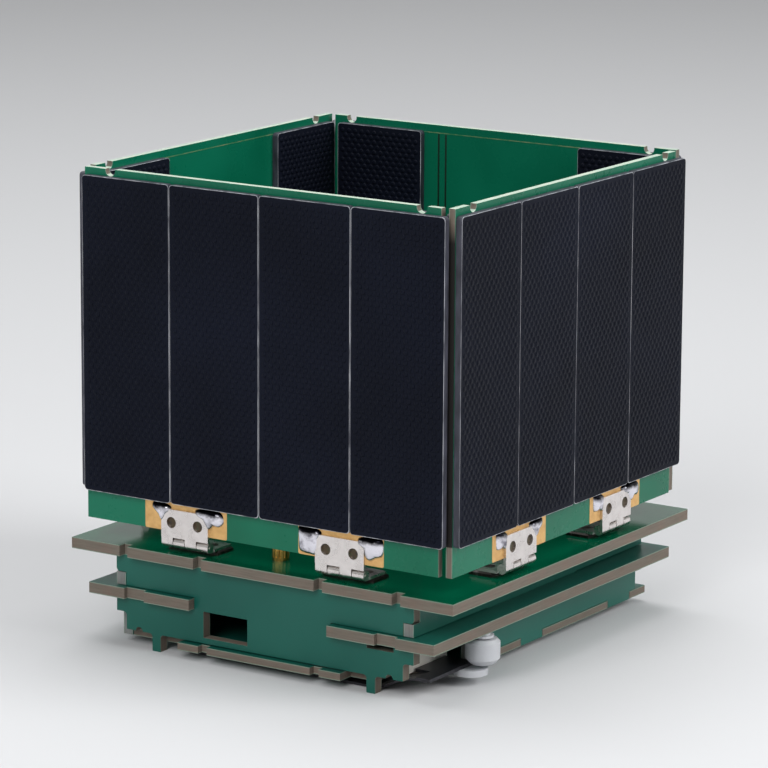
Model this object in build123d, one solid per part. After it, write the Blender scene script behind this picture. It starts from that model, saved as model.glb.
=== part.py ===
from build123d import *
import math
import os

# Small picosatellite: a low bus box of slotted circuit boards under a square
# deck, with four hinged solar panels that stand on the deck as an open box.
# Millimetres. +Z is up, the origin is in plan at the middle of the deck and in
# height at the tips of the wall lugs, which are the lowest points.
# Front is -Y, right is +X.

# Stack of boards, from the lugs up
BOARD_T = 1.6
BOTTOM_BOARD_T = 1.1
FOOT_GAP = 0.2
LUG_DROP = 1.2
LOWER_BAY = 4.7
UPPER_BAY = 4.5
DECK_SIZE = 64.0
BACK_PLATE_W = 58.0
BACK_PLATE_L = 64.0

# Walls of the bus box
BODY_W = 50.0
BODY_L = 61.6
SLOT_FIT = 0.1
EAR_INNER_X = 11.5
SIDE_WEB_HALF = 12.0
FINGER_H = 1.9
CORNER_STEP_H = 2.5
MILL_R = 0.5
LUG_W = 1.4
LUG_CENTRE_X = 18.1
RELIEF_R = 0.6
RELIEF_X = 21.1
WINDOW_W = 7.5
WINDOW_H = 3.8
WINDOW_X = -6.2
WINDOW_SILL = 1.0
ANTENNA_GAP_CLEAR = 0.15
POCKET_W = 4.4
POCKET_H = 0.9
POCKET_X = 19.6

# Edge notches of the deck and of the back plate
DECK_NOTCH_W = 1.4
DECK_NOTCH_DEPTH = 1.3
DECK_NOTCH_XS = (-22.9, -10.15, 10.15, 22.9)
EAR_NOTCH_W = 3.4
EAR_NOTCH_DEPTH = 0.7
EAR_NOTCH_X = 21.1

# Tabs of the bottom board that show through the walls
TAB_OUT = 1.0
FRONT_TABS = ((-13.7, -10.2), (-8.7, 8.7), (10.2, 13.7))
SIDE_TABS = ((-10.0, -3.0), (3.0, 21.2))
CORNER_TAB_L = 3.2
CORNER_TAB_OUT = 1.3
TAPE_CUT_X = 18.0
TAPE_CUT_IN = 6.6
CORNER_CUT_X = 21.5
CORNER_CUT_IN = 14.2

# Solar panels: a thin board with modules on both faces. All four are alike. Seen from
# outside, a board's left end covers its neighbour and its right end stops inside the next
PANEL_T = 1.0
PANEL_H = 50.2
PANEL_GAP = 2.95
PANEL_SETBACK = 1.4
PANEL_OUT = DECK_SIZE / 2 - PANEL_SETBACK
PANEL_END_SHORT = 0.5
PANEL_CORNER_CLEAR = 0.9
PANEL_LEFT_X = -(PANEL_OUT - PANEL_END_SHORT)
PANEL_RIGHT_X = PANEL_OUT - PANEL_T - PANEL_CORNER_CLEAR
MODULE_COUNT = 4
MODULE_W = (2 * PANEL_OUT - 1.2) / MODULE_COUNT
MODULE_H = 45.0
MODULE_T = 0.95
MODULE_RISE = 4.2
MODULE_SPLIT = 0.1
MODULE_CORNER = 0.5
INNER_CORNER_CLEAR = 1.0
INNER_BOARD_CLEAR = 0.3
INNER_LEFT_X = -(PANEL_OUT - PANEL_T - INNER_BOARD_CLEAR)
INNER_RIGHT_X = PANEL_OUT - PANEL_T - MODULE_T - INNER_CORNER_CLEAR
PANEL_NOTCH_W = 1.7
PANEL_NOTCH_IN = 4.9

# Butt hinges
HINGE_X = 13.0
HINGE_W = 8.0
LEAF_T = 0.4
BARREL_R = 0.72
PIN_R = 0.3
PIN_FIT = 0.03
KNUCKLES = 4
KNUCKLE_GAP = 0.1
LEAF_CLEAR = 0.1
LEAF_RISE = 4.85
LEAF_INSET = 4.85
LEAF_HOLE_R = 0.79
LEAF_HOLE_X = 2.25
LEAF_HOLE_AT = 2.98
SOLDER_T = 0.6
SOLDER_OVER = 0.25
SOLDER_SETBACK = 0.7
SOLDER_CHAMFER = 0.2

# Spacer post and its foot, at the front right corner
POST_R = 2.45
POST_OUT = 0.45
POST_IN = 13.0
POST_H = 3.6
POST_TOP_CHAMFER = 0.45
POST_FOOT_CHAMFER = 0.8
POST_RING_R = 1.55
POST_RING_H = 0.35
POST_NECK_R = 1.05
POST_NECK_H = 0.8
FOOT_R = 2.45
FOOT_H = 0.9
FOOT_INWARD = 1.3
FOOT_FORWARD = 1.0

# Tape antenna: a flat plate held between the post and its foot, and a strip
# that bends down and runs to the left under the front edge of the box
TAPE_T = 0.3
TAPE_W = 3.6
TAPE_IN = 1.9
TAPE_PLATE_T = 0.5
TAPE_PLATE_X = (21.8, 26.4)
TAPE_PLATE_BACK = 0.2
TAPE_RISE = ((17.6, 0.0), (19.0, 0.35), (21.0, 1.35), (22.6, 1.95), (24.2, 2.15))
TAPE_LEFT = 14.0
CLAMP_X = (17.6, 21.6)
CLAMP_IN = (3.6, 13.8)
CLAMP_H = 2.4
CLAMP_CHAMFER = 1.6

# Cell in the upper bay
BATTERY_L = 44.0
BATTERY_W = 34.0
BATTERY_T = 3.8
BATTERY_CORNER = 2.0

# Gold fluted insert in the deck
INSERT_R = 1.2
INSERT_BORE_R = 0.55
INSERT_H = 2.2
INSERT_FLANGE_H = 0.4
INSERT_FLUTES = 12
INSERT_FLUTE_R = 0.16
INSERT_X = -0.6
INSERT_IN = 6.7

# Levels and places that follow from the values above
BOTTOM_BOARD_Z = LUG_DROP
BOTTOM_BOARD_TOP = BOTTOM_BOARD_Z + BOTTOM_BOARD_T
WALL_FOOT_Z = BOTTOM_BOARD_TOP + FOOT_GAP
BACK_PLATE_Z = WALL_FOOT_Z + LOWER_BAY
BACK_PLATE_TOP = BACK_PLATE_Z + BOARD_T
DECK_Z = BACK_PLATE_TOP + UPPER_BAY
DECK_TOP = DECK_Z + BOARD_T
LEAF_Z = DECK_TOP + SOLDER_T
AXIS_Z = LEAF_Z + BARREL_R
AXIS_OUT = PANEL_OUT + LEAF_T - BARREL_R
PANEL_Z = DECK_TOP + PANEL_GAP
MODULE_Z = PANEL_Z + MODULE_RISE
CORNER_STEP_Z = WALL_FOOT_Z + CORNER_STEP_H
WINDOW_Z = WALL_FOOT_Z + WINDOW_SILL - FOOT_GAP
TAPE_Z = BOTTOM_BOARD_TOP - TAPE_RISE[-1][1]

HALF_W = BODY_W / 2
HALF_L = BODY_L / 2
INNER_X = HALF_W - BOARD_T
INNER_Y = HALF_L - BOARD_T
CORNER_TAB_Y = HALF_L - CORNER_TAB_L
POST_X = HALF_W + POST_OUT + POST_R
POST_Y = -HALF_L + POST_IN
FOOT_X = POST_X - FOOT_INWARD
FOOT_Y = POST_Y - FOOT_FORWARD
ANTENNA_GAP_Y = FOOT_Y + FOOT_R + ANTENNA_GAP_CLEAR
TAPE_FRONT_Y = -HALF_L + TAPE_IN
TAPE_PLATE_BACK_Y = POST_Y + TAPE_PLATE_BACK
INSERT_Y = -DECK_SIZE / 2 + INSERT_IN
SIDES = {"front": 0, "right": 90, "back": 180, "left": 270}

os.makedirs("parts", exist_ok=True)


def block(x0, x1, y0, y1, z0, z1):
    """A box between two corners."""
    size = (x1 - x0, y1 - y0, z1 - z0)
    return Pos((x0 + x1) / 2, (y0 + y1) / 2, (z0 + z1) / 2) * Box(*size)


def save(name, solids):
    """Write one node, which may hold several separate solids."""
    shape = solids if not isinstance(solids, (list, tuple)) else Compound(children=list(solids))
    export_step(shape, f"parts/{name}.step")


def end_wall(window=False):
    """A front wall: it stands in front of the back plate and between the side walls."""
    y0, y1 = -HALF_L, -INNER_Y
    wall = block(-HALF_W, HALF_W, y0, y1, WALL_FOOT_Z, DECK_Z)
    for side in (-1, 1):
        low, high = sorted((side * EAR_INNER_X, side * (HALF_W + 1)))
        slot_top = BACK_PLATE_TOP + SLOT_FIT
        wall -= block(low, high, y0 - 1, y1 + 1, BACK_PLATE_Z - SLOT_FIT, slot_top)
        low, high = sorted((side * (INNER_X - SLOT_FIT), side * (HALF_W + 1)))
        finger_top = BACK_PLATE_TOP + FINGER_H + SLOT_FIT
        wall -= block(low, high, y0 - 1, y1 + 1, BACK_PLATE_TOP - SLOT_FIT, finger_top)
        wall -= block(low, high, y0 - 1, y1 + 1, WALL_FOOT_Z - 1, CORNER_STEP_Z)
        lug_x = side * LUG_CENTRE_X
        wall += block(lug_x - LUG_W / 2, lug_x + LUG_W / 2, y0, y1, 0, WALL_FOOT_Z + MILL_R)
        relief = Pos(side * RELIEF_X, (y0 + y1) / 2, WALL_FOOT_Z) * Rot(90, 0, 0)
        wall -= relief * Cylinder(RELIEF_R, 2 * BOARD_T)
    rounded = []
    for edge in wall.edges().filter_by(Axis.Y):
        spot = edge.center()
        off_lug = abs(abs(abs(spot.X) - LUG_CENTRE_X) - LUG_W / 2)
        at_lug = off_lug < 0.01 and abs(spot.Z - WALL_FOOT_Z) < 0.01
        off_step = abs(abs(spot.X) - (INNER_X - SLOT_FIT))
        at_step = off_step < 0.01 and abs(spot.Z - CORNER_STEP_Z) < 0.01
        at_ear = abs(abs(spot.X) - HALF_W) < 0.01 and abs(spot.Z - finger_top) < 0.01
        if at_lug or at_step or at_ear:
            rounded.append(edge)
    wall = fillet(rounded, MILL_R)
    if window:
        x0, x1 = WINDOW_X - WINDOW_W / 2, WINDOW_X + WINDOW_W / 2
        wall -= block(x0, x1, y0 - 1, y1 + 1, WINDOW_Z, WINDOW_Z + WINDOW_H)
        x0, x1 = POCKET_X - POCKET_W / 2, POCKET_X + POCKET_W / 2
        wall -= block(x0, x1, y0 - 1, y1 + 1, BACK_PLATE_Z - POCKET_H, BACK_PLATE_Z)
    return wall


def side_wall(back_end=1):
    """The right wall: it crosses the back plate through a slot and fingers into the end walls."""
    x0, x1 = INNER_X, HALF_W
    wall = block(x0, x1, -INNER_Y, INNER_Y, BOTTOM_BOARD_Z, DECK_Z)
    for side in (-1, 1):
        low, high = sorted((side * SIDE_WEB_HALF, side * HALF_L))
        slot_top = BACK_PLATE_TOP + SLOT_FIT
        wall -= block(x0 - 1, x1 + 1, low, high, BACK_PLATE_Z - SLOT_FIT, slot_top)
        low, high = sorted((side * (INNER_Y - 1), side * HALF_L))
        finger = block(x0, x1, low, high, slot_top, BACK_PLATE_TOP + FINGER_H)
        wall += finger
    for y0, y1 in SIDE_TABS:
        tab_top = BOTTOM_BOARD_TOP + SLOT_FIT
        wall -= block(x0 - 1, x1 + 1, y0 - SLOT_FIT, y1 + SLOT_FIT, BOTTOM_BOARD_Z - 1, tab_top)
    low, high = sorted((back_end * (CORNER_TAB_Y - SLOT_FIT), back_end * HALF_L))
    wall -= block(x0 - 1, x1 + 1, low, high, BOTTOM_BOARD_Z - 1, BOTTOM_BOARD_TOP + SLOT_FIT)
    gap_top = BACK_PLATE_Z - SLOT_FIT
    wall -= block(x0 - 1, x1 + 1, -HALF_L - 1, ANTENNA_GAP_Y, BOTTOM_BOARD_Z - 1, gap_top)
    return wall


def deck_board():
    """Square top deck with four small notches in its front and back edges."""
    half = DECK_SIZE / 2
    deck = block(-half, half, -half, half, DECK_Z, DECK_TOP)
    for x in DECK_NOTCH_XS:
        for side in (-1, 1):
            low, high = sorted((side * (half - DECK_NOTCH_DEPTH), side * (half + 1)))
            deck -= block(x - DECK_NOTCH_W / 2, x + DECK_NOTCH_W / 2, low, high, DECK_Z - 1, DECK_TOP + 1)
    return deck


def back_plate():
    """Sliding plate: its ears reach out through the slots of the end walls."""
    half_w, half_l = BACK_PLATE_W / 2, BACK_PLATE_L / 2
    plate = block(-half_w, half_w, -half_l, half_l, BACK_PLATE_Z, BACK_PLATE_TOP)
    z0, z1 = BACK_PLATE_Z - 1, BACK_PLATE_TOP + 1
    for side in (-1, 1):
        low, high = sorted((side * (INNER_Y - SLOT_FIT), side * (half_l + 1)))
        cut = EAR_INNER_X + SLOT_FIT
        plate -= block(-cut, cut, low, high, z0, z1)
        for x in (-EAR_NOTCH_X, EAR_NOTCH_X):
            low, high = sorted((side * (half_l - EAR_NOTCH_DEPTH), side * (half_l + 1)))
            plate -= block(x - EAR_NOTCH_W / 2, x + EAR_NOTCH_W / 2, low, high, z0, z1)
        low, high = sorted((side * (INNER_X - SLOT_FIT), side * (HALF_W + SLOT_FIT)))
        web = SIDE_WEB_HALF + SLOT_FIT
        plate -= block(low, high, -web, web, z0, z1)
    return plate


def bottom_board():
    """Bottom board: it closes the box from below and tabs out through all four walls."""
    z0, z1 = BOTTOM_BOARD_Z, BOTTOM_BOARD_TOP
    x_in, y_in = INNER_X - SLOT_FIT, INNER_Y - SLOT_FIT
    board = block(-x_in, x_in, -y_in, y_in, z0, z1)
    half_front = FRONT_TABS[-1][1]
    board += block(-half_front, half_front, -HALF_L, HALF_L, z0, z1)
    for x0, x1 in FRONT_TABS:
        board += block(x0, x1, -HALF_L - TAB_OUT, HALF_L + TAB_OUT, z0, z1)
    for side in (-1, 1):
        for y0, y1 in SIDE_TABS:
            low, high = sorted((side * y0, side * y1))
            x0, x1 = sorted((0, side * HALF_W))
            board += block(x0, x1, low, high, z0, z1)
        x0, x1 = sorted((side * (x_in - 1), side * HALF_W))
        board += block(x0, x1, CORNER_TAB_Y, y_in, z0, z1)
        x0, x1 = sorted((side * INNER_X, side * HALF_W))
        board += block(x0, x1, CORNER_TAB_Y, HALF_L + CORNER_TAB_OUT, z0, z1)
    board -= block(TAPE_CUT_X, HALF_W + 1, -HALF_L - 1, -HALF_L + TAPE_CUT_IN, z0 - 1, z1 + 1)
    board -= block(CORNER_CUT_X, HALF_W + 1, -HALF_L - 1, -HALF_L + CORNER_CUT_IN, z0 - 1, z1 + 1)
    return board


def knuckle_span(index):
    """Start and end of one knuckle along the pin, measured from the hinge's middle."""
    pitch = HINGE_W / KNUCKLES
    start = -HINGE_W / 2 + index * pitch
    return start + KNUCKLE_GAP / 2, start + pitch - KNUCKLE_GAP / 2


def barrel(x0, x1, radius):
    """A cylinder along X on the front hinge axis."""
    place = Pos((x0 + x1) / 2, -AXIS_OUT, AXIS_Z) * Rot(0, 90, 0)
    return place * Cylinder(radius, x1 - x0)


def panel_leaf(x):
    """Upper leaf of a front hinge: flat on the panel, with every second knuckle."""
    clear = BARREL_R + LEAF_CLEAR
    y0, y1 = -PANEL_OUT - LEAF_T, -PANEL_OUT
    leaf = block(x - HINGE_W / 2, x + HINGE_W / 2, y0, y1, AXIS_Z + clear, AXIS_Z + LEAF_RISE)
    for index in range(0, KNUCKLES, 2):
        x0, x1 = knuckle_span(index)
        leaf += block(x + x0, x + x1, y0, y1, AXIS_Z, AXIS_Z + clear + 0.1)
        leaf += barrel(x + x0, x + x1, BARREL_R)
    leaf -= barrel(x - HINGE_W, x + HINGE_W, PIN_R + PIN_FIT)
    for side in (-1, 1):
        hole = Pos(x + side * LEAF_HOLE_X, y0, AXIS_Z + LEAF_HOLE_AT) * Rot(90, 0, 0)
        leaf -= hole * Cylinder(LEAF_HOLE_R, 4 * LEAF_T)
    return leaf


def deck_leaf(x):
    """Lower leaf of a front hinge with its knuckles and the pin they grip."""
    clear = BARREL_R + LEAF_CLEAR
    z0, z1 = LEAF_Z, LEAF_Z + LEAF_T
    y0, y1 = -AXIS_OUT + clear, -AXIS_OUT + LEAF_INSET
    leaf = block(x - HINGE_W / 2, x + HINGE_W / 2, y0, y1, z0, z1)
    for index in range(1, KNUCKLES, 2):
        x0, x1 = knuckle_span(index)
        leaf += block(x + x0, x + x1, -AXIS_OUT, y0 + 0.1, z0, z1)
        leaf += barrel(x + x0, x + x1, BARREL_R)
    for side in (-1, 1):
        hole = Pos(x + side * LEAF_HOLE_X, -AXIS_OUT + LEAF_HOLE_AT, z0)
        leaf -= hole * Cylinder(LEAF_HOLE_R, 4 * LEAF_T)
    leaf += barrel(x - HINGE_W / 2, x + HINGE_W / 2, PIN_R)
    return leaf


def solder_pad(x):
    """Solder bed that lifts a deck leaf off the deck."""
    y0 = -AXIS_OUT + BARREL_R + SOLDER_SETBACK
    y1 = -AXIS_OUT + LEAF_INSET + SOLDER_OVER
    half = HINGE_W / 2 + SOLDER_OVER
    bed = block(x - half, x + half, y0, y1, DECK_TOP, LEAF_Z)
    return chamfer(bed.edges().group_by(Axis.Z)[-1], SOLDER_CHAMFER)


def module(x, outer):
    """One solar module with rounded corners, on the outer or the inner face."""
    y = -PANEL_OUT - MODULE_T / 2 if outer else -PANEL_OUT + PANEL_T + MODULE_T / 2
    slab = Pos(x, y, MODULE_Z + MODULE_H / 2) * Box(MODULE_W - MODULE_SPLIT, MODULE_T, MODULE_H)
    return fillet(slab.edges().filter_by(Axis.Y), MODULE_CORNER)


def panel_board():
    """Panel board with two round-bottomed notches in its top edge."""
    top = PANEL_Z + PANEL_H
    y0, y1 = -PANEL_OUT, -PANEL_OUT + PANEL_T
    board = block(PANEL_LEFT_X, PANEL_RIGHT_X, y0, y1, PANEL_Z, top)
    bottom = MODULE_Z + MODULE_H + PANEL_NOTCH_W / 2
    notch_x = PANEL_OUT - PANEL_NOTCH_IN
    for x in (-notch_x, notch_x):
        board -= block(x - PANEL_NOTCH_W / 2, x + PANEL_NOTCH_W / 2, y0 - 1, y1 + 1, bottom, top + 1)
        board -= Pos(x, (y0 + y1) / 2, bottom) * Rot(90, 0, 0) * Cylinder(PANEL_NOTCH_W / 2, 3 * PANEL_T)
    return board


# Bus box
save("top_deck_board", deck_board())
save("back_plate_board", back_plate())
save("bottom_board", bottom_board())
save("wall_front", end_wall(window=True))
save("wall_back", Rot(0, 0, 180) * end_wall())
save("wall_right", side_wall())
save("wall_left", Rot(0, 0, 180) * side_wall(back_end=-1))
battery_half_w, battery_half_l = BATTERY_W / 2, BATTERY_L / 2
battery_top = BACK_PLATE_TOP + BATTERY_T
battery = block(-battery_half_w, battery_half_w, -battery_half_l, battery_half_l, BACK_PLATE_TOP, battery_top)
save("battery_block", fillet(battery.edges().filter_by(Axis.Z), BATTERY_CORNER))

# Spacer post between the back plate and its foot, with the antenna plate between
post_z = BACK_PLATE_Z - POST_NECK_H - POST_H
post = Pos(POST_X, POST_Y, post_z + POST_H / 2) * Cylinder(POST_R, POST_H)
post = chamfer(post.edges().filter_by(GeomType.CIRCLE).sort_by(Axis.Z)[-1], POST_TOP_CHAMFER)
post = chamfer(post.edges().filter_by(GeomType.CIRCLE).sort_by(Axis.Z)[0], POST_FOOT_CHAMFER)
post += Pos(POST_X, POST_Y, BACK_PLATE_Z - POST_NECK_H / 2) * Cylinder(POST_NECK_R, POST_NECK_H)
ring_z = BACK_PLATE_Z - POST_NECK_H + POST_RING_H
post += Pos(POST_X, POST_Y, ring_z) * Cylinder(POST_RING_R, POST_RING_H)
save("spacer_post", post)
save("post_foot", Pos(FOOT_X, FOOT_Y, BOTTOM_BOARD_TOP - FOOT_H / 2) * Cylinder(FOOT_R, FOOT_H))

# Tape antenna and the block that clamps it
points = [(-TAPE_LEFT, TAPE_Z)] + [(x, TAPE_Z + rise) for x, rise in TAPE_RISE]
points += [(TAPE_PLATE_X[1], points[-1][1])]
points += [(x, z + TAPE_T) for x, z in reversed(points)]
strip = make_face(Polyline(*points, close=True))
strip = Pos(0, TAPE_FRONT_Y + TAPE_W, 0) * extrude(Rot(90, 0, 0) * strip, TAPE_W)
plate_z, plate_top = BOTTOM_BOARD_TOP, BOTTOM_BOARD_TOP + TAPE_PLATE_T
plate_front = TAPE_FRONT_Y + TAPE_W
x0, x1 = TAPE_PLATE_X
strip += block(TAPE_RISE[-1][0], x1, TAPE_FRONT_Y, plate_front + 0.1, plate_z, plate_top)
strip += block(x0, x1, plate_front, TAPE_PLATE_BACK_Y, plate_z, plate_top)
save("antenna_blade", strip)
clamp_x0, clamp_x1 = CLAMP_X
clamp_y0, clamp_y1 = [-HALF_L + inward for inward in CLAMP_IN]
clamp = block(clamp_x0, clamp_x1, clamp_y0, clamp_y1, BOTTOM_BOARD_TOP, BOTTOM_BOARD_TOP + CLAMP_H)
save("antenna_clamp", chamfer(clamp.edges().filter_by(Axis.X).sort_by(Axis.Z)[-2:].sort_by(Axis.Y)[0], CLAMP_CHAMFER))

# Gold insert standing in the deck
insert = Pos(INSERT_X, INSERT_Y, DECK_TOP + INSERT_H / 2) * Cylinder(INSERT_R, INSERT_H)
for index in range(INSERT_FLUTES):
    turn = 2 * math.pi * index / INSERT_FLUTES
    x = INSERT_X + INSERT_R * math.cos(turn)
    y = INSERT_Y + INSERT_R * math.sin(turn)
    insert -= Pos(x, y, DECK_TOP + INSERT_H / 2 + INSERT_FLANGE_H) * Cylinder(INSERT_FLUTE_R, INSERT_H)
bore = Pos(INSERT_X, INSERT_Y, DECK_TOP + INSERT_H) * Cylinder(INSERT_BORE_R, INSERT_H)
save("deck_pins", insert - bore)

# Panels and their hinges, built at the front and turned to each side
for side, angle in SIDES.items():
    turn = Rot(0, 0, angle)
    hinge_xs = (-HINGE_X, HINGE_X)
    outer_xs = [(index - (MODULE_COUNT - 1) / 2) * MODULE_W for index in range(MODULE_COUNT)]
    inner_xs = (INNER_LEFT_X + MODULE_W / 2, INNER_RIGHT_X - MODULE_W / 2)
    save(f"panel_board_{side}", turn * panel_board())
    save(f"outer_modules_{side}", [turn * module(x, True) for x in outer_xs])
    save(f"inner_modules_{side}", [turn * module(x, False) for x in inner_xs])
    save(f"panel_hinge_leaves_{side}", [turn * panel_leaf(x) for x in hinge_xs])
    save(f"deck_hinge_leaves_{side}", [turn * deck_leaf(x) for x in hinge_xs])
    save(f"hinge_solder_{side}", [turn * solder_pad(x) for x in hinge_xs])
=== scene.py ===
import bpy
import bmesh
import math
from mathutils import Matrix, Vector


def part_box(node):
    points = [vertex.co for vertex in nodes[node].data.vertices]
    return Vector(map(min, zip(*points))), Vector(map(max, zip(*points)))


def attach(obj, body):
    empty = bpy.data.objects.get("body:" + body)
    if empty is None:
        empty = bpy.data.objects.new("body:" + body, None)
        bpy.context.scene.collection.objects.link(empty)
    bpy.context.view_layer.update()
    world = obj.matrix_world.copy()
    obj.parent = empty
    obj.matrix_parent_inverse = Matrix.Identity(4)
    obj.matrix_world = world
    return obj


# Small picosatellite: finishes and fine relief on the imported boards, walls,
# solar modules and hinges. Metres, +Z up, front is -Y, right is +X.

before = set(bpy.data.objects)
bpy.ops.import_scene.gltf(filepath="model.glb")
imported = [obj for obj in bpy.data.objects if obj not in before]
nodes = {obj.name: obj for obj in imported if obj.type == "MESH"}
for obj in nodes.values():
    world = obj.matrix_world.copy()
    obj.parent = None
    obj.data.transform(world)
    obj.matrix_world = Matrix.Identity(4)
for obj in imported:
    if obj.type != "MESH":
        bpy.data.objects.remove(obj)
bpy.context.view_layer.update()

MM = 0.001
SIDES = {"front": 0, "right": 90, "back": 180, "left": 270}

# Solar modules: a dark film with staggered raised dots inside a pale rim, lightened as a painted highlight
RIM = 0.08 * MM
FILM_CORNER = 0.45 * MM
FILM_T = 0.05 * MM
FILM_SINK = 0.02 * MM
DOT_PITCH_ACROSS = 1.14 * MM
DOT_PITCH_UP = 0.74 * MM
DOT_R = 0.40 * MM
DOT_H = 0.02 * MM
DOT_SIDES = 8
DOT_MARGIN = 0.5 * MM
MODULE_COUNT = 4
INNER_COUNT = 2
MODULE_GAP = 0.1 * MM

# Gold pads and solder round the upper hinge leaves
PAD_W = 14.0 * MM
PAD_T = 0.035 * MM
PAD_CORNER = 0.25 * MM
PAD_BELOW_MODULES = 0.05 * MM
PAD_SINK = 0.05 * MM
BLOB_H = 0.75 * MM
BLOB_RINGS = 7
BLOB_STEPS = 4
BLOB_SINK = 0.05 * MM
HINGE_W = 8.0 * MM
HOLE_R = 0.79 * MM
HOLE_X = 2.25 * MM
HOLE_BELOW_TOP = 1.87 * MM
HOLE_SIDES = 20
HOLE_FILL_OUT = 0.1 * MM
HOLE_FILL_SINK = 0.02 * MM

# Copper areas on the panels' inner faces
COPPER_BELOW_MODULES = 0.1 * MM
COPPER_STEP_W = 0.12 * MM
COPPER_GAP_W = 0.28 * MM
COPPER_GAP_XS = (8.9 * MM, 10.15 * MM)
COPPER_GAP_ABOVE_EDGE = 3 * MM
STRIP_T = 0.02 * MM
STRIP_CORNER = 0.02 * MM


def srgb(r, g, b):
    """A colour given 0 to 255, as Blender's linear values."""
    linear = []
    for value in (r, g, b):
        c = value / 255
        linear.append(c / 12.92 if c <= 0.04045 else ((c + 0.055) / 1.055) ** 2.4)
    return (*linear, 1.0)


def shade(colour, factor):
    """The same colour, lighter or darker."""
    return (*(factor * value for value in colour[:3]), 1.0)


AXES = {"x": (1, 0, 0), "y": (0, 1, 0), "z": (0, 0, 1)}
SQUARE_ON = 0.7


class Finish:
    """A node material, built one named step at a time."""

    def __init__(self, name, **shader):
        self.material = bpy.data.materials.new(name)
        self.material.use_nodes = True
        self.tree = self.material.node_tree
        self.shader = self.tree.nodes["Principled BSDF"]
        self.coords = self.add("ShaderNodeTexCoord")
        for socket, value in shader.items():
            self.shader.inputs[socket.replace("_", " ").title().replace("Ior", "IOR")].default_value = value

    def add(self, kind, **settings):
        node = self.tree.nodes.new(kind)
        for name, value in settings.items():
            setattr(node, name, value)
        return node

    def plug(self, value, socket):
        """Link an output, or set a plain value, on a socket."""
        if isinstance(value, bpy.types.NodeSocket):
            self.tree.links.new(value, socket)
        else:
            socket.default_value = value

    def place(self, scale):
        """Object coordinates stretched by a scale for each axis."""
        mapping = self.add("ShaderNodeMapping")
        self.plug(self.coords.outputs["Object"], mapping.inputs["Vector"])
        mapping.inputs["Scale"].default_value = scale
        return mapping.outputs["Vector"]

    def noise(self, scale, detail=3.0, rough=0.55, vector=None):
        """Noise from 0 to 1. The scale is in features per metre, one number or one per axis."""
        if vector is None:
            vector = self.place(scale if isinstance(scale, tuple) else (scale, scale, scale))
        texture = self.add("ShaderNodeTexNoise")
        texture.inputs["Scale"].default_value = 1.0
        texture.inputs["Detail"].default_value = detail
        texture.inputs["Roughness"].default_value = rough
        self.plug(vector, texture.inputs["Vector"])
        return texture.outputs["Fac"]

    def ramp(self, factor, *stops):
        """Colour ramp with stops given as (position, colour)."""
        node = self.add("ShaderNodeValToRGB")
        elements = node.color_ramp.elements
        while len(elements) < len(stops):
            elements.new(0.5)
        for element, (position, colour) in zip(elements, stops):
            element.position = position
            element.color = colour
        self.plug(factor, node.inputs["Fac"])
        return node.outputs["Color"]

    def split(self, output):
        """The parts along x, y and z of one output of the coordinates."""
        node = self.add("ShaderNodeSeparateXYZ")
        self.plug(self.coords.outputs[output], node.inputs[0])
        return node.outputs

    def faces_along(self, axis):
        """1 on the faces square to an axis, else 0."""
        node = self.add("ShaderNodeVectorMath", operation="DOT_PRODUCT")
        self.plug(self.coords.outputs["Normal"], node.inputs[0])
        node.inputs[1].default_value = AXES[axis]
        return self.math("GREATER_THAN", self.math("ABSOLUTE", node.outputs["Value"]), SQUARE_ON)

    def math(self, operation, a, b=0.0):
        node = self.add("ShaderNodeMath", operation=operation)
        self.plug(a, node.inputs[0])
        self.plug(b, node.inputs[1])
        return node.outputs[0]

    def remap(self, factor, low, high, start=0.0, end=1.0):
        """Stretch start..end to low..high."""
        node = self.add("ShaderNodeMapRange")
        self.plug(factor, node.inputs["Value"])
        node.inputs["From Min"].default_value = start
        node.inputs["From Max"].default_value = end
        node.inputs["To Min"].default_value = low
        node.inputs["To Max"].default_value = high
        return node.outputs["Result"]

    def mix(self, factor, a, b):
        node = self.add("ShaderNodeMix", data_type="RGBA")
        self.plug(factor, node.inputs["Factor"])
        self.plug(a, node.inputs[6])
        self.plug(b, node.inputs[7])
        return node.outputs[2]

    def blend(self, factor, a, b):
        node = self.add("ShaderNodeMix", data_type="FLOAT")
        self.plug(factor, node.inputs["Factor"])
        self.plug(a, node.inputs[2])
        self.plug(b, node.inputs[3])
        return node.outputs[0]

    def relief(self, height, depth, strength=1.0):
        node = self.add("ShaderNodeBump")
        node.inputs["Strength"].default_value = strength
        node.inputs["Distance"].default_value = depth
        self.plug(height, node.inputs["Height"])
        self.plug(node.outputs["Normal"], self.shader.inputs["Normal"])

    def paint(self, colour, roughness):
        self.plug(colour, self.shader.inputs["Base Color"])
        self.plug(roughness, self.shader.inputs["Roughness"])
        return self.material


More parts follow.
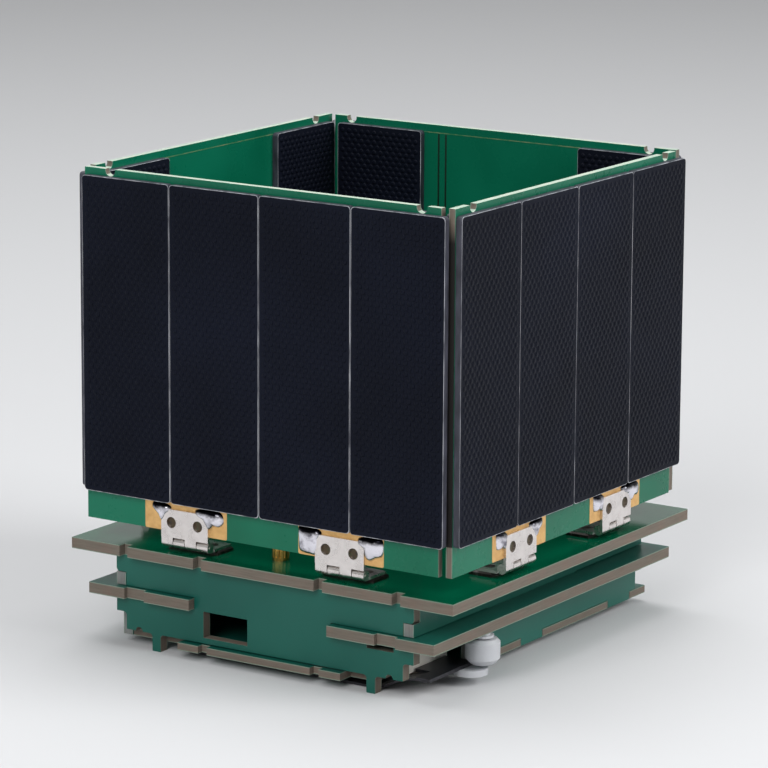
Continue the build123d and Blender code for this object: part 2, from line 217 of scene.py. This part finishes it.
def board_finish(name, node, axis, dark, light, gloss, edge, groove=None):
    """Circuit board: solder mask on its two faces and bare glass laminate on its edges.

    The mask's rim shows as a pale line along each edge, lightened as a painted highlight. A panel's
    ends lie in a groove, given by its lowest and highest z, where they are painted black as shade,
    and its top edge is painted pale as light falling on it from above.
    """
    finish = Finish(name, specular_ior_level=0.28)
    low, high = (getattr(corner, axis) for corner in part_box(node))
    is_face = finish.faces_along(axis)

    cloud = finish.noise(55.0, 2.0)
    mask = finish.ramp(cloud, (0.3, dark), (0.7, light))
    weave_scale = tuple(300.0 if on else 2600.0 for on in AXES[axis])
    weave = finish.noise(weave_scale, 2.0)
    mask = finish.mix(finish.remap(weave, 0.0, 0.10), mask, light)

    layer_scale = tuple(5200.0 if on else 240.0 for on in AXES[axis])
    layers = finish.noise(layer_scale, 3.0, 0.6)
    laminate = finish.ramp(layers, (0.30, shade(edge, 0.86)), (0.70, shade(edge, 1.14)))
    scorch = finish.noise(420.0, 3.0)
    laminate = finish.mix(finish.ramp(scorch, (0.45, srgb(0, 0, 0)), (0.70, srgb(150, 150, 150))),
                          laminate, srgb(124, 98, 88))
    place = finish.split("Object")
    middle, half = (low + high) / 2, (high - low) / 2
    from_middle = finish.math("ABSOLUTE", finish.math("SUBTRACT", place[axis.upper()], middle))
    # The pale line along each edge next to the faces is the mask's rim, lightened as a painted highlight of
    # the edge.
    rim = finish.remap(from_middle, 0.0, 0.7, half - 0.14 * MM, half - 0.05 * MM)
    laminate = finish.mix(rim, laminate, srgb(132, 156, 140))
    # Painted shade: the panel's ends are painted black in the groove between the modules' sides, fading out
    # towards the modules' top.
    if groove is not None:
        fade = 0.9 * MM
        above = finish.remap(place["Z"], 0.0, 1.0, groove[0], groove[0] + 0.1 * MM)
        below = finish.remap(place["Z"], 1.0, 0.0, groove[1] - 4 * fade, groove[1] - fade)
        laminate = finish.mix(finish.math("MULTIPLY", above, below), laminate, srgb(24, 21, 20))
        # Painted highlight: the panel's top edge is painted pale where light from above falls on it.
        is_top = finish.math("GREATER_THAN", finish.split("Normal")["Z"], SQUARE_ON)
        pale = finish.ramp(scorch, (0.3, srgb(172, 196, 180)), (0.7, srgb(196, 206, 190)))
        laminate = finish.mix(is_top, laminate, pale)

    colour = finish.mix(is_face, laminate, mask)
    smear = finish.remap(finish.noise(220.0, 4.0), gloss - 0.05, gloss + 0.07)
    finish.relief(finish.blend(is_face, layers, finish.math("MULTIPLY", weave, 0.12)), 0.00004, 0.5)
    return finish.paint(colour, finish.blend(is_face, 0.72, smear))


def module_finish(name, axis):
    """Cell encapsulant: grey cut sides darkened as painted shade, and a pale rim on the front lightened as a
    painted highlight of the module's edges.
    """
    finish = Finish(name)
    is_face = finish.faces_along(axis)
    streaks = finish.noise((900.0, 900.0, 260.0), 4.0)
    # Painted shade on the grey cut sides and a painted highlight on the pale rim.
    cut = finish.ramp(streaks, (0.32, srgb(34, 35, 44)), (0.68, srgb(66, 67, 79)))
    rim = finish.ramp(streaks, (0.34, srgb(104, 106, 116)), (0.62, srgb(206, 208, 214)))
    finish.relief(streaks, 0.00003, 0.4)
    return finish.paint(finish.mix(is_face, cut, rim), 0.5)


def cell_film_finish():
    """Dark blue-black film over the cells."""
    finish = Finish("cell_film", specular_ior_level=0.07)
    cloud = finish.noise(42.0, 3.0)
    colour = finish.ramp(cloud, (0.3, srgb(12, 15, 25)), (0.7, srgb(18, 22, 35)))
    grain = finish.noise(1500.0, 3.0)
    finish.relief(grain, 0.00002, 0.5)
    return finish.paint(colour, finish.remap(grain, 0.40, 0.55))


def nickel_finish():
    finish = Finish("bright_nickel", metallic=1.0)
    grain = finish.noise(650.0, 2.0)
    colour = finish.ramp(grain, (0.3, srgb(212, 206, 203)), (0.7, srgb(228, 222, 219)))
    finish.relief(grain, 0.000004, 0.2)
    return finish.paint(colour, finish.remap(grain, 0.24, 0.32))


def solder_finish(dark_from, dark_to):
    """Bright solder, painted black in patches between two heights as a painted reflection of the dark
    modules above.
    """
    finish = Finish("bright_solder", metallic=1.0)
    crust = finish.noise(750.0, 4.0, 0.6)
    colour = finish.ramp(crust, (0.3, srgb(120, 118, 128)), (0.5, srgb(228, 226, 234)))
    # Painted reflection: the solder is painted black below the modules, where it mirrors their dark films.
    ragged = finish.math("ADD", finish.split("Object")["Z"],
                         finish.remap(finish.noise(1100.0, 3.0), -0.5 * MM, 0.5 * MM))
    dark_reflection = finish.remap(ragged, 0.0, 1.0, dark_from, dark_to)
    colour = finish.mix(dark_reflection, colour, srgb(18, 18, 24))
    finish.relief(crust, 0.00007, 0.5)
    return finish.paint(colour, finish.remap(crust, 0.06, 0.24))


def shaded_bed_finish():
    """Dull solder bed under a deck leaf, painted dark as shade under the hinge."""
    finish = Finish("solder_bed", metallic=0.6)
    crust = finish.noise(900.0, 4.0, 0.6)
    colour = finish.ramp(crust, (0.3, srgb(20, 18, 16)), (0.55, srgb(48, 44, 40)),
                         (0.75, srgb(120, 116, 114)))
    finish.relief(crust, 0.00008, 0.6)
    return finish.paint(colour, finish.remap(crust, 0.25, 0.5))


def gold_finish(name, light, dark, rough, metal, scale):
    finish = Finish(name, metallic=metal)
    grain = finish.noise(scale, 4.0)
    colour = finish.ramp(grain, (0.3, dark), (0.65, light))
    finish.relief(grain, 0.00003, 0.5)
    return finish.paint(colour, finish.remap(grain, rough, rough + 0.15))


def nylon_finish(name, dark, light):
    finish = Finish(name)
    grain = finish.noise(1400.0, 3.0)
    colour = finish.ramp(finish.noise(160.0, 2.0), (0.3, dark), (0.7, light))
    finish.relief(grain, 0.00003, 0.5)
    return finish.paint(colour, finish.remap(grain, 0.36, 0.5))


def cell_wrap_finish():
    finish = Finish("cell_wrap")
    creases = finish.noise((140.0, 420.0, 900.0), 4.0)
    colour = finish.ramp(creases, (0.3, srgb(52, 55, 60)), (0.7, srgb(78, 82, 88)))
    finish.relief(creases, 0.00012, 0.5)
    return finish.paint(colour, finish.remap(creases, 0.3, 0.5))


def flux_and_shade_finish():
    """Brown flux in the holes of the leaves, painted darker as shade over the gold behind them."""
    finish = Finish("brown_flux_and_shade")
    streaks = finish.noise(1500.0, 4.0)
    colour = finish.ramp(streaks, (0.3, srgb(14, 12, 4)), (0.52, srgb(64, 46, 14)), (0.72, srgb(22, 52, 24)))
    finish.relief(streaks, 0.00004, 0.6)
    return finish.paint(colour, finish.remap(streaks, 0.25, 0.5))


def copper_gap_finish():
    """Bare dark laminate in the gaps between copper areas."""
    finish = Finish("copper_gap")
    cloud = finish.noise(900.0, 3.0)
    colour = finish.ramp(cloud, (0.3, srgb(4, 22, 10)), (0.7, srgb(10, 34, 18)))
    return finish.paint(colour, finish.remap(cloud, 0.35, 0.5))


def step_highlight_finish():
    """Pale line where the mask steps down from copper: the step's edge painted as a highlight."""
    finish = Finish("step_highlight")
    cloud = finish.noise(700.0, 3.0)
    colour = finish.ramp(cloud, (0.35, srgb(52, 118, 74)), (0.7, srgb(132, 142, 104)))
    return finish.paint(colour, finish.remap(cloud, 0.35, 0.5))


def tape_finish():
    finish = Finish("spring_tape", metallic=0.5)
    rolled = finish.noise((240.0, 3200.0, 3200.0), 3.0)
    colour = finish.ramp(rolled, (0.3, srgb(30, 30, 34)), (0.7, srgb(58, 58, 64)))
    finish.relief(rolled, 0.00003, 0.4)
    return finish.paint(colour, finish.remap(rolled, 0.28, 0.45))


LAMINATE = srgb(110, 102, 92)
GREY_LAMINATE = srgb(122, 126, 124)
GREEN = (srgb(0, 72, 48), srgb(0, 88, 60), 0.13, LAMINATE)
PANEL_GREEN = (srgb(2, 92, 66), srgb(10, 112, 84), 0.27, LAMINATE)
TEAL = (srgb(16, 82, 72), srgb(26, 94, 82), 0.33, LAMINATE)
# Painted reflection: the side walls' mask is painted lighter than the front and back walls', for the sheen
# of the lamp on the right.
TEAL_SIDE_LIT = (srgb(22, 88, 76), srgb(34, 100, 88), 0.33, GREY_LAMINATE)
module_zone = [corner.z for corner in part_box("outer_modules_front")]
cell_film = cell_film_finish()
nickel = nickel_finish()
solder = solder_finish(module_zone[0] - 1.3 * MM, module_zone[0] - 0.7 * MM)
# Painted shade: the beds under the deck leaves are painted dark.
solder_bed = shaded_bed_finish()
pad_gold = gold_finish("pad_gold", srgb(226, 184, 122), srgb(208, 164, 104), 0.40, 0.7, 1200.0)
insert_gold = gold_finish("insert_gold", srgb(240, 200, 112), srgb(112, 76, 28), 0.18, 1.0,
                          (2600.0, 2600.0, 60.0))
nylon = nylon_finish("white_nylon", srgb(180, 182, 187), srgb(198, 200, 204))
# Painted light: the clamp is the same nylon as the posts, painted lighter where it sits in shade.
lit_clamp_nylon = nylon_finish("lit_clamp_nylon", srgb(232, 226, 216), srgb(246, 242, 234))
cell_wrap = cell_wrap_finish()
tape = tape_finish()
flux_and_shade = flux_and_shade_finish()
copper_gap = copper_gap_finish()
step_highlight = step_highlight_finish()
module_bodies = {axis: module_finish("module_body_" + axis, axis) for axis in "xy"}

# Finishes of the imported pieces
dressed = {
    "battery_block": cell_wrap, "spacer_post": nylon, "post_foot": nylon, "antenna_blade": tape,
    "antenna_clamp": lit_clamp_nylon, "deck_pins": insert_gold,
}
boards = {"top_deck_board": ("z", GREEN), "back_plate_board": ("z", TEAL), "bottom_board": ("z", TEAL)}
for side, angle in SIDES.items():
    axis = "y" if angle % 180 == 0 else "x"
    boards["wall_" + side] = (axis, TEAL if axis == "y" else TEAL_SIDE_LIT)
    name = "panel_board_" + side
    dressed[name] = board_finish(name, name, axis, *PANEL_GREEN, groove=module_zone)
    dressed["outer_modules_" + side] = module_bodies[axis]
    dressed["inner_modules_" + side] = module_bodies[axis]
    dressed["panel_hinge_leaves_" + side] = nickel
    dressed["deck_hinge_leaves_" + side] = nickel
    dressed["hinge_solder_" + side] = solder_bed
for name, (axis, mask) in boards.items():
    dressed[name] = board_finish(name, name, axis, *mask)
for name, material in dressed.items():
    mesh = nodes[name].data
    mesh.materials.clear()
    mesh.materials.append(material)


def turned(mesh, side):
    """Turn a mesh built at the front to one of the four sides."""
    mesh.transform(Matrix.Rotation(math.radians(SIDES[side]), 4, "Z"))
    return mesh


def piece(name, mesh, body, material):
    """Link a finished mesh as a piece that rides on a body."""
    mesh.materials.clear()
    mesh.materials.append(material)
    obj = bpy.data.objects.new(name, mesh)
    bpy.context.scene.collection.objects.link(obj)
    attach(obj, body)


def mesh_of(bm, name, smooth=False):
    """Close a bmesh: doubles merged, faces pointing out."""
    bmesh.ops.remove_doubles(bm, verts=bm.verts, dist=1e-7)
    bmesh.ops.recalc_face_normals(bm, faces=bm.faces)
    for face in bm.faces:
        face.smooth = smooth
    mesh = bpy.data.meshes.new(name)
    bm.to_mesh(mesh)
    bm.free()
    return mesh


def dots_tree():
    """Node tree that lays the same staggered field of dots on each module of a row."""
    tree = bpy.data.node_groups.new("film_dots", "GeometryNodeTree")
    face = tree.interface
    face.new_socket("Geometry", in_out="INPUT", socket_type="NodeSocketGeometry")
    face.new_socket("Geometry", in_out="OUTPUT", socket_type="NodeSocketGeometry")
    for name in ("Module spacing", "Pitch across", "Pitch up", "Dot radius", "Dot height"):
        face.new_socket(name, in_out="INPUT", socket_type="NodeSocketFloat")
    for name in ("Modules", "Columns", "Rows", "Dot sides"):
        face.new_socket(name, in_out="INPUT", socket_type="NodeSocketInt")
    face.new_socket("Film", in_out="INPUT", socket_type="NodeSocketMaterial")

    def add(kind, **settings):
        node = tree.nodes.new(kind)
        for key, value in settings.items():
            setattr(node, key, value)
        return node

    def link(a, b):
        tree.links.new(a, b)

    def calc(operation, a, b=None):
        node = add("ShaderNodeMath", operation=operation)
        for socket, value in zip(node.inputs, (a, b)):
            if isinstance(value, bpy.types.NodeSocket):
                link(value, socket)
            elif value is not None:
                socket.default_value = value
        return node.outputs[0]

    def vector(x=0.0, y=0.0, z=0.0):
        node = add("ShaderNodeCombineXYZ")
        for socket, value in zip(node.inputs, (x, y, z)):
            if isinstance(value, bpy.types.NodeSocket):
                link(value, socket)
            else:
                socket.default_value = value
        return node.outputs[0]

    start = add("NodeGroupInput")
    given = start.outputs

    # Dots on a grid whose every second row is moved by half a pitch
    grid = add("GeometryNodeMeshGrid")
    for count, pitch, size in (("Columns", "Pitch across", "Size X"), ("Rows", "Pitch up", "Size Y")):
        link(calc("MULTIPLY", calc("SUBTRACT", given[count], 1.0), given[pitch]), grid.inputs[size])
    link(given["Columns"], grid.inputs["Vertices X"])
    link(given["Rows"], grid.inputs["Vertices Y"])
    row = calc("MODULO", add("GeometryNodeInputIndex").outputs[0], given["Rows"])
    odd = calc("MODULO", row, 2.0)
    shift = calc("MULTIPLY", calc("SUBTRACT", odd, 0.5), calc("MULTIPLY", given["Pitch across"], 0.5))
    stagger = add("GeometryNodeSetPosition")
    link(grid.outputs["Mesh"], stagger.inputs["Geometry"])
    link(vector(shift), stagger.inputs["Offset"])
    dot = add("GeometryNodeMeshCone")
    link(given["Dot sides"], dot.inputs["Vertices"])
    link(given["Dot radius"], dot.inputs["Radius Bottom"])
    link(calc("MULTIPLY", given["Dot radius"], 0.45), dot.inputs["Radius Top"])
    link(given["Dot height"], dot.inputs["Depth"])
    smooth = add("GeometryNodeSetShadeSmooth")
    link(dot.outputs["Mesh"], smooth.inputs["Geometry"])
    dots = add("GeometryNodeInstanceOnPoints")
    link(stagger.outputs["Geometry"], dots.inputs["Points"])
    link(smooth.outputs["Geometry"], dots.inputs["Instance"])

    # The same field on every module of the row
    line = add("GeometryNodeMeshLine", mode="OFFSET")
    link(given["Modules"], line.inputs["Count"])
    reach = calc("MULTIPLY", calc("SUBTRACT", given["Modules"], 1.0), given["Module spacing"])
    link(vector(calc("MULTIPLY", reach, -0.5)), line.inputs["Start Location"])
    link(vector(given["Module spacing"]), line.inputs["Offset"])
    fields = add("GeometryNodeInstanceOnPoints")
    link(line.outputs["Mesh"], fields.inputs["Points"])
    link(dots.outputs["Instances"], fields.inputs["Instance"])
    real = add("GeometryNodeRealizeInstances")
    link(fields.outputs["Instances"], real.inputs[0])
    coat = add("GeometryNodeSetMaterial")
    link(real.outputs[0], coat.inputs["Geometry"])
    link(given["Film"], coat.inputs["Material"])
    end = add("NodeGroupOutput")
    link(coat.outputs["Geometry"], end.inputs["Geometry"])
    return tree


def grown(tree, values):
    """Run a node tree with its named inputs set, and return the plain mesh."""
    base = bpy.data.objects.new("grown", bpy.data.meshes.new("grown"))
    bpy.context.scene.collection.objects.link(base)
    modifier = base.modifiers.new("grow", "NODES")
    modifier.node_group = tree
    for item in tree.interface.items_tree:
        if item.in_out == "INPUT" and item.name in values:
            modifier[item.identifier] = values[item.name]
    bpy.context.view_layer.update()
    shown = base.evaluated_get(bpy.context.evaluated_depsgraph_get())
    mesh = bpy.data.meshes.new_from_object(shown)
    base.modifiers.remove(modifier)
    bpy.data.objects.remove(base)
    return mesh


def dots_row(tree, module_w, module_h, spacing, count):
    columns = int((module_w - 2 * DOT_MARGIN) / DOT_PITCH_ACROSS)
    rows = int((module_h - 2 * DOT_MARGIN) / DOT_PITCH_UP)
    return grown(tree, {
        "Module spacing": spacing, "Pitch across": DOT_PITCH_ACROSS, "Pitch up": DOT_PITCH_UP,
        "Dot radius": DOT_R, "Dot height": DOT_H, "Modules": count, "Columns": columns, "Rows": rows,
        "Dot sides": DOT_SIDES, "Film": cell_film,
    })


def plate(bm, ring, y0, y1):
    """A thin closed plate over an outline in the panel's plane."""
    front = [bm.verts.new((x, y0, z)) for x, z in ring]
    back = [bm.verts.new((x, y1, z)) for x, z in ring]
    bm.faces.new(front)
    bm.faces.new(list(reversed(back)))
    for index in range(len(ring)):
        follow = (index + 1) % len(ring)
        bm.faces.new((front[index], back[index], back[follow], front[follow]))


def flat_pad(bm, x0, x1, z0, z1, y0, y1, corner):
    """A thin plate in the panel's plane with rounded corners."""
    ring = []
    for cx, cz, start in ((x1 - corner, z1 - corner, 0), (x0 + corner, z1 - corner, 90),
                          (x0 + corner, z0 + corner, 180), (x1 - corner, z0 + corner, 270)):
        for step in range(4):
            turn = math.radians(start + 30 * step)
            ring.append((cx + corner * math.cos(turn), cz + corner * math.sin(turn)))
    plate(bm, ring, y0, y1)


def disc(bm, x, z, radius, y0, y1):
    """A thin round plate in the panel's plane."""
    turns = [2 * math.pi * step / HOLE_SIDES for step in range(HOLE_SIDES)]
    plate(bm, [(x + radius * math.cos(turn), z + radius * math.sin(turn)) for turn in turns], y0, y1)


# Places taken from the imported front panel, which all four panels share
outer_low, outer_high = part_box("outer_modules_front")
inner_low, inner_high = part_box("inner_modules_front")
board_low, board_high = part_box("panel_board_front")
leaf_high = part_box("panel_hinge_leaves_front")[1]
module_w = (outer_high.x - outer_low.x + MODULE_GAP) / MODULE_COUNT - MODULE_GAP
module_h = outer_high.z - outer_low.z
module_mid_z = (outer_low.z + outer_high.z) / 2
inner_mid_x = (inner_low.x + inner_high.x) / 2
inner_spacing = inner_high.x - inner_low.x - module_w
outward = Matrix.Rotation(math.radians(90), 4, "X")
inward = Matrix.Rotation(math.radians(180), 4, "Z") @ outward


def film_plates(bm, first_x, spacing, count, y_back, y_face):
    """The flat films of a row of modules."""
    for index in range(count):
        x0 = first_x + index * spacing
        flat_pad(bm, x0 + RIM, x0 + module_w - RIM, outer_low.z + RIM, outer_high.z - RIM,
                 y_back, y_face, FILM_CORNER)


# Dark films on the modules: rounded plates with raised dots
tree = dots_tree()
dot_lift = FILM_T + DOT_H / 2
outer_dots = dots_row(tree, module_w, module_h, module_w + MODULE_GAP, MODULE_COUNT)
outer_dots.transform(Matrix.Translation((0, outer_low.y - dot_lift, module_mid_z)) @ outward)
inner_dots = dots_row(tree, module_w, module_h, inner_spacing, INNER_COUNT)
inner_dots.transform(Matrix.Translation((inner_mid_x, inner_high.y + dot_lift, module_mid_z)) @ inward)
for side in SIDES:
    bm = bmesh.new()
    film_plates(bm, outer_low.x, module_w + MODULE_GAP, MODULE_COUNT,
                outer_low.y + FILM_SINK, outer_low.y - FILM_T)
    film_plates(bm, inner_low.x, inner_spacing, INNER_COUNT,
                inner_high.y - FILM_SINK, inner_high.y + FILM_T)
    film = mesh_of(bm, "cell_films_" + side)
    bm = bmesh.new()
    for part in (film, outer_dots, inner_dots):
        bm.from_mesh(part)
    bm.to_mesh(film)
    bm.free()
    piece("cell_films_" + side, turned(film, side), side + "_panel", cell_film)


hinge_x = leaf_high.x - HINGE_W / 2
strip_low, strip_high = board_low.z, outer_low.z

# Outlines of frozen solder, seen from outside: how far out from the leaf's edge and how far
# down from the modules, in millimetres
BLOBS = {
    "hook": (
        (1.6, 0.3), (1.7, 0.9), (1.2, 1.5), (0.5, 2.1), (0.0, 2.9), (-0.4, 2.5),
        (-0.8, 1.8), (-1.4, 1.3), (-1.5, 0.7), (-0.8, 0.35), (0.2, 0.15), (1.0, 0.1),
    ),
    "wing": (
        (2.3, 0.7), (2.5, 1.8), (1.9, 2.5), (0.9, 2.5), (0.1, 3.1), (-0.5, 2.5),
        (-1.1, 1.7), (-2.2, 1.2), (-2.4, 0.6), (-1.4, 0.25), (0.0, 0.1), (1.5, 0.2),
    ),
    "apron": (
        (2.9, 0.2), (2.95, 2.0), (2.8, 3.6), (2.0, 3.95), (0.9, 4.05), (0.1, 4.0),
        (-0.4, 2.9), (-0.5, 1.6), (-0.9, 0.8), (-0.3, 0.3), (1.4, 0.1),
    ),
    "corner": (
        (2.9, 0.4), (2.9, 2.5), (1.8, 3.1), (0.7, 3.6), (0.1, 3.0), (-0.2, 1.9),
        (-1.2, 1.2), (-1.0, 0.5), (0.5, 0.15), (1.9, 0.12),
    ),
    "shelf": (
        (2.0, 0.15), (2.05, 2.2), (1.8, 2.7), (0.9, 2.6), (0.1, 2.9), (-0.3, 1.7),
        (-0.4, 0.6), (0.8, 0.1),
    ),
}
# For each side: the blob at the left and right of the left hinge, then of the right hinge
BLOB_PLACES = {
    "front": ("hook", "wing", "apron", "corner"),
    "right": ("shelf", "hook", "shelf", "wing"),
    "back": ("wing", "corner", "shelf", "apron"),
    "left": ("corner", "hook", "wing", "shelf"),
}


def rounded(points, steps):
    """A smooth closed curve through the points."""
    curve = []
    count = len(points)
    for index in range(count):
        a, b, c, d = (Vector(points[(index + offset) % count]) for offset in (-1, 0, 1, 2))
        for step in range(steps):
            t = step / steps
            curve.append(0.5 * (2 * b + (c - a) * t + (2 * a - 5 * b + 4 * c - d) * t ** 2
                                + (3 * b - a - 3 * c + d) * t ** 3))
    return curve


def blob(bm, outline, edge_x, away, top_z, y_face, height):
    """Solder frozen round a leaf's edge: a low dome over an outline, steep at its border."""
    curve = rounded(outline, BLOB_STEPS)
    middle = sum(curve, Vector((0, 0))) / len(curve)
    rings = []
    for level in range(BLOB_RINGS):
        inset = level / BLOB_RINGS
        rise = height * math.sqrt(1 - (1 - inset) ** 2.4)
        ring = []
        for point in curve:
            spot = point.lerp(middle, inset)
            swell = 1 + 0.12 * inset * math.sin(2.6 * spot.x + 1.7 * spot.y + 3 * away)
            place = (edge_x + away * spot.x * MM, y_face - rise * swell, top_z - spot.y * MM)
            ring.append(bm.verts.new(place))
        rings.append(ring)
    base = [bm.verts.new((v.co.x, y_face + BLOB_SINK, v.co.z)) for v in rings[0]]
    tip = bm.verts.new((edge_x + away * middle.x * MM, y_face - height, top_z - middle.y * MM))
    count = len(curve)
    for index in range(count):
        follow = (index + 1) % count
        for lower, upper in zip([base] + rings, rings):
            bm.faces.new((lower[index], lower[follow], upper[follow], upper[index]))
        bm.faces.new((rings[-1][index], rings[-1][follow], tip))
    bm.faces.new(base)


# Gold pads behind the hinge leaves, the solder that holds the leaves, and flux in their holes, painted
# darker as shade
for side in SIDES:
    pads, mounds, hole_fills = bmesh.new(), bmesh.new(), bmesh.new()
    shapes = iter(BLOB_PLACES[side])
    for sign in (-1, 1):
        middle = sign * hinge_x
        flat_pad(pads, middle - PAD_W / 2, middle + PAD_W / 2, strip_low,
                 strip_high - PAD_BELOW_MODULES, board_low.y - PAD_T, board_low.y + PAD_SINK, PAD_CORNER)
        for away in (-1, 1):
            edge_x = middle + away * HINGE_W / 2
            blob(mounds, BLOBS[next(shapes)], edge_x, away, strip_high, board_low.y, BLOB_H)
            disc(hole_fills, middle + away * HOLE_X, leaf_high.z - HOLE_BELOW_TOP, HOLE_R,
                 board_low.y - HOLE_FILL_OUT, board_low.y + HOLE_FILL_SINK)
    for name, bm, slot, material, soft in (("hinge_pads_", pads, "gold", pad_gold, False),
                                           ("leaf_solder_", mounds, "solder", solder, True),
                                           ("hole_flux_and_shade_", hole_fills, "gold", flux_and_shade, False)):
        mesh = mesh_of(bm, name + side, smooth=soft)
        piece(name + side, turned(mesh, side), side + "_panel", material)

# Copper areas on the inner faces: a pale step along the top, its edge painted as a highlight, and two dark
# gaps on the end panels
copper_top_z = outer_high.z - COPPER_BELOW_MODULES


def inner_strip(bm, x0, x1, z0, z1):
    """A hair-thin strip on a panel's inner face."""
    flat_pad(bm, x0, x1, z0, z1, board_high.y - STRIP_T, board_high.y + STRIP_T, STRIP_CORNER)


for side in SIDES:
    bm = bmesh.new()
    inner_strip(bm, inner_low.x + module_w, inner_high.x - module_w,
                copper_top_z - COPPER_STEP_W, copper_top_z)
    name = "copper_step_" + side
    piece(name, turned(mesh_of(bm, name), side), side + "_panel", step_highlight)
    if side in ("front", "back"):
        bm = bmesh.new()
        for x in COPPER_GAP_XS:
            inner_strip(bm, x - COPPER_GAP_W / 2, x + COPPER_GAP_W / 2,
                        board_low.z + COPPER_GAP_ABOVE_EDGE, copper_top_z - 2 * COPPER_STEP_W)
        name = "copper_gaps_" + side
        piece(name, turned(mesh_of(bm, name), side), side + "_panel", copper_gap)

# Plain floor, backdrop and soft light
FLOOR_HALF = 4.0
floor_mesh = bpy.data.meshes.new("floor")
floor_mesh.from_pydata([(-FLOOR_HALF, -FLOOR_HALF, 0), (FLOOR_HALF, -FLOOR_HALF, 0),
                        (FLOOR_HALF, FLOOR_HALF, 0), (-FLOOR_HALF, FLOOR_HALF, 0)], [], [(0, 1, 2, 3)])
floor = bpy.data.objects.new("floor", floor_mesh)
bpy.context.scene.collection.objects.link(floor)
floor_finish = Finish("pale_floor", specular_ior_level=0.1)
floor_mesh.materials.append(floor_finish.paint(srgb(210, 211, 213), 0.9))

# World: bright where it is seen or reflected, dimmer as light, with a darker band in its dome
scene = bpy.context.scene
world = bpy.data.worlds.new("studio")
world.use_nodes = True
scene.world = world
backdrop = world.node_tree.nodes["Background"]
link_world = world.node_tree.links.new


def world_node(kind, **settings):
    node = world.node_tree.nodes.new(kind)
    for name, value in settings.items():
        setattr(node, name, value)
    return node


rays = world_node("ShaderNodeLightPath")
seen = rays.outputs["Is Camera Ray"]
for ray in ("Is Glossy Ray", "Is Transmission Ray"):
    either = world_node("ShaderNodeMath", operation="MAXIMUM")
    link_world(seen, either.inputs[0])
    link_world(rays.outputs[ray], either.inputs[1])
    seen = either.outputs[0]
strength = world_node("ShaderNodeMapRange")
link_world(seen, strength.inputs["Value"])
strength.inputs["To Min"].default_value = 0.30
strength.inputs["To Max"].default_value = 0.90
link_world(strength.outputs["Result"], backdrop.inputs["Strength"])
height = world_node("ShaderNodeSeparateXYZ")
link_world(world_node("ShaderNodeTexCoord").outputs["Generated"], height.inputs[0])
dome = world_node("ShaderNodeValToRGB")
link_world(height.outputs["Z"], dome.inputs["Fac"])
bands = dome.color_ramp.elements
for position, grey in ((0.0, 1.0), (0.22, 1.0), (0.34, 0.22), (0.62, 0.30), (0.78, 1.0)):
    element = bands[0] if position == 0.0 else bands.new(position)
    element.position = position
    element.color = (grey, grey, grey, 1.0)
bands[-1].color = (1.0, 1.0, 1.0, 1.0)
link_world(dome.outputs["Color"], backdrop.inputs["Color"])


LAMPS_AIM = (0, 0, 0.035)


def lamp(name, place, size, watts):
    """A square soft lamp aimed at the middle of the part."""
    data = bpy.data.lights.new(name, "AREA")
    data.shape = "RECTANGLE"
    data.size, data.size_y = size, size
    data.energy = watts
    obj = bpy.data.objects.new(name, data)
    scene.collection.objects.link(obj)
    obj.location = place
    obj.rotation_euler = (Vector(place) - Vector(LAMPS_AIM)).to_track_quat("Z", "Y").to_euler()


for name, place, size, watts in (("key_right", (0.66, 0.16, 0.46), 0.5, 4.6),
                                 ("fill_front", (0.10, -0.72, 0.52), 0.5, 4.2),
                                 ("top_soft", (-0.15, 0.10, 0.85), 0.6, 4.4)):
    lamp(name, place, size, watts)

# Camera at the photograph's viewing angle, fitted to the board corners
AZIMUTH = math.radians(33.26)
ELEVATION = math.radians(12.35)
ROLL = math.radians(0.34)
DISTANCE = 592.0 * MM
SHIFT_RIGHT, SHIFT_UP = -0.064 * MM, 19.955 * MM
DECK_TOP_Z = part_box("top_deck_board")[1].z
back = Vector((math.sin(AZIMUTH) * math.cos(ELEVATION), -math.cos(AZIMUTH) * math.cos(ELEVATION),
               math.sin(ELEVATION)))
level = Vector((math.cos(AZIMUTH), math.sin(AZIMUTH), 0))
upward = back.cross(level)
right = math.cos(ROLL) * level + math.sin(ROLL) * upward
up = math.cos(ROLL) * upward - math.sin(ROLL) * level
camera_data = bpy.data.cameras.new("camera")
camera_data.sensor_width = 36.0
camera_data.lens = 192.75
camera = bpy.data.objects.new("camera", camera_data)
scene.collection.objects.link(camera)
turn = Matrix((right, up, back)).transposed().to_4x4()
spot = DISTANCE * back + SHIFT_RIGHT * right + SHIFT_UP * up + Vector((0, 0, DECK_TOP_Z))
camera.matrix_world = Matrix.Translation(spot) @ turn
scene.camera = camera
scene.view_settings.view_transform = "Standard"
